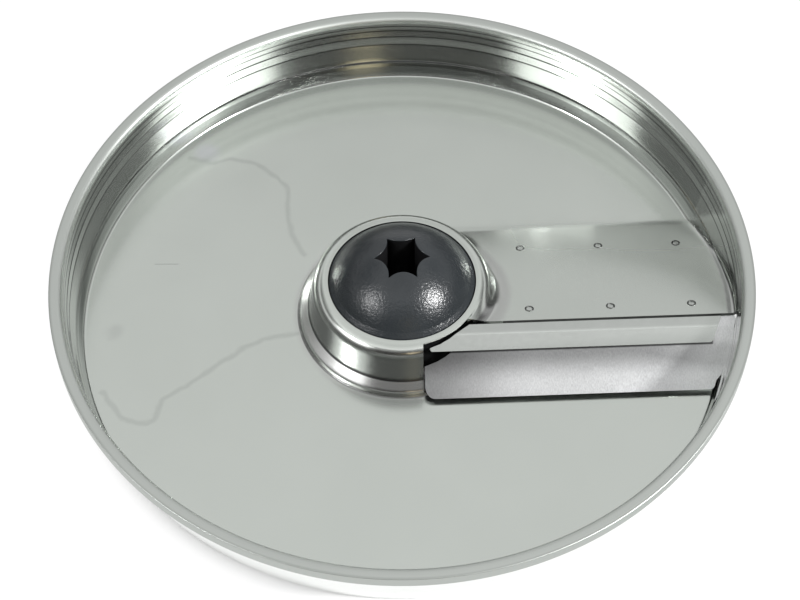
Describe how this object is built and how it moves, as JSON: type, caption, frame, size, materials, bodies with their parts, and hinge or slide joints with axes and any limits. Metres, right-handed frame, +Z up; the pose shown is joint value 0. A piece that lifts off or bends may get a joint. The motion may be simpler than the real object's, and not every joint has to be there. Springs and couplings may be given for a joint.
{
  "type": "food processor disc",
  "caption": "Round dished steel slicing disc for a food processor, with a raised slot, a welded blade under a cover strip, and a domed plastic hub with a star-shaped drive socket.",
  "frame": {"origin": "on the axis of rotation, in the plane of the flat's underside, which the disc lies on", "axes": "+Z up along the axis of rotation, +X along the blade from the hub towards the rim, +Y towards the ramp's fold"},
  "size_m": [0.145, 0.145, 0.02],
  "materials": {
    "disc": "satin pressed stainless steel",
    "blade": "ground stainless steel, grain across its length",
    "cover_strip": "smooth stainless steel",
    "hub": "satin dark grey moulding"
  },
  "bodies": {
    "root": {"disc": "disc", "blade": "blade", "cover_strip": "cover_strip", "hub": "hub"}
  },
  "joints": []
}
